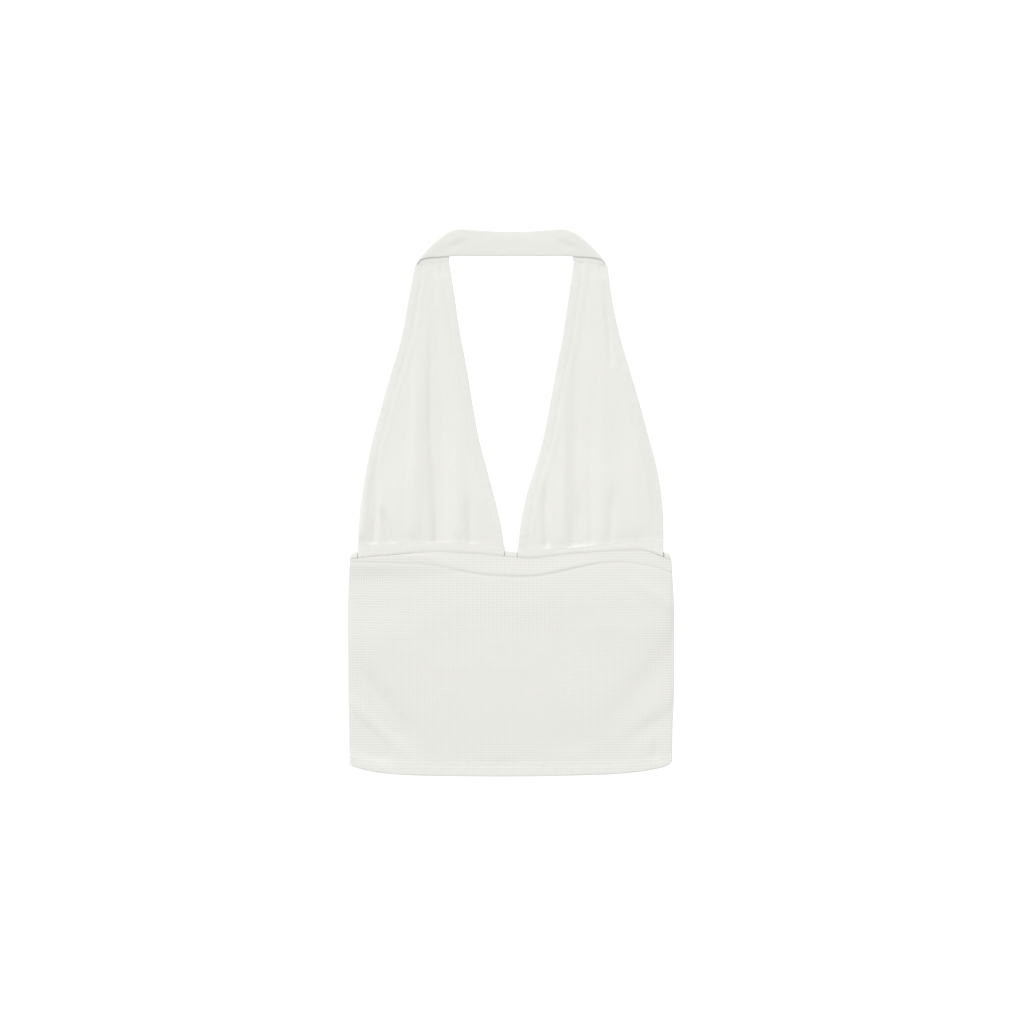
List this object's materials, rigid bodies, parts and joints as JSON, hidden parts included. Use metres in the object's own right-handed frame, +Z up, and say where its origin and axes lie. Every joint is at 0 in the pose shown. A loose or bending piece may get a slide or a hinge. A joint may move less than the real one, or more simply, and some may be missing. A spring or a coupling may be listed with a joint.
{
  "type": "halter top",
  "caption": "Cropped halter top laid flat: gathered cups, folded neck strap, narrow underbust band and a straight textured body with a turned hem.",
  "frame": {"origin": "centre of the outline, on the surface that the top lies on", "axes": "+Y from the hem to the neck strap, +Z up out of the surface through the front, +X to the right as seen from above with the neck strap away from the viewer"},
  "size_m": [0.326, 0.5467, 0.0089],
  "materials": {
    "cup_cloth": "matt off-white fine woven or jersey cloth",
    "strap_cloth": "matt off-white fine cloth, doubled",
    "body_cloth": "matt off-white waffle-textured knit"
  },
  "bodies": {
    "root": {"cup_left": "cup_cloth", "cup_right": "cup_cloth", "neck_strap": "strap_cloth", "underbust_band": "strap_cloth", "body_front": "body_cloth", "body_back": "body_cloth"}
  },
  "joints": []
}
